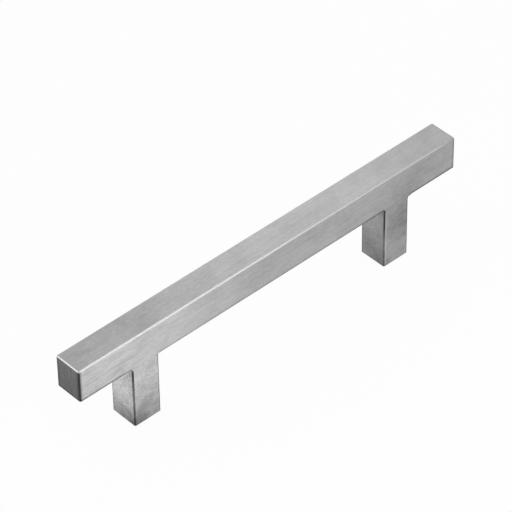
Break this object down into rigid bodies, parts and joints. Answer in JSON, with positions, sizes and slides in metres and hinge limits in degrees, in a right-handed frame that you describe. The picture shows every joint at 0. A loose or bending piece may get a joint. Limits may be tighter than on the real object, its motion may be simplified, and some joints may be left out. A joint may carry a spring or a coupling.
{
  "type": "t bar cabinet pull",
  "caption": "Square-section T bar cabinet pull in brushed steel: a solid bar across square posts, whose feet are tapped for screws from behind the door.",
  "frame": {"origin": "midway between the posts, on the plane of their feet, where the pull meets the door or drawer front", "axes": "+X along the bar, +Y to its back, +Z away from the door, from the feet to the bar's top face"},
  "size_m": [0.1428, 0.0094, 0.033],
  "materials": {
    "bar_steel": "brushed along its length, with bright worn edges",
    "post_steel": "brushed across, cloudy towards the foot",
    "stud_steel": "plain turned steel, inside the joint"
  },
  "bodies": {
    "root": {"bar": "bar_steel", "left_post": "post_steel", "right_post": "post_steel", "left_stud": "stud_steel", "right_stud": "stud_steel"}
  },
  "joints": []
}
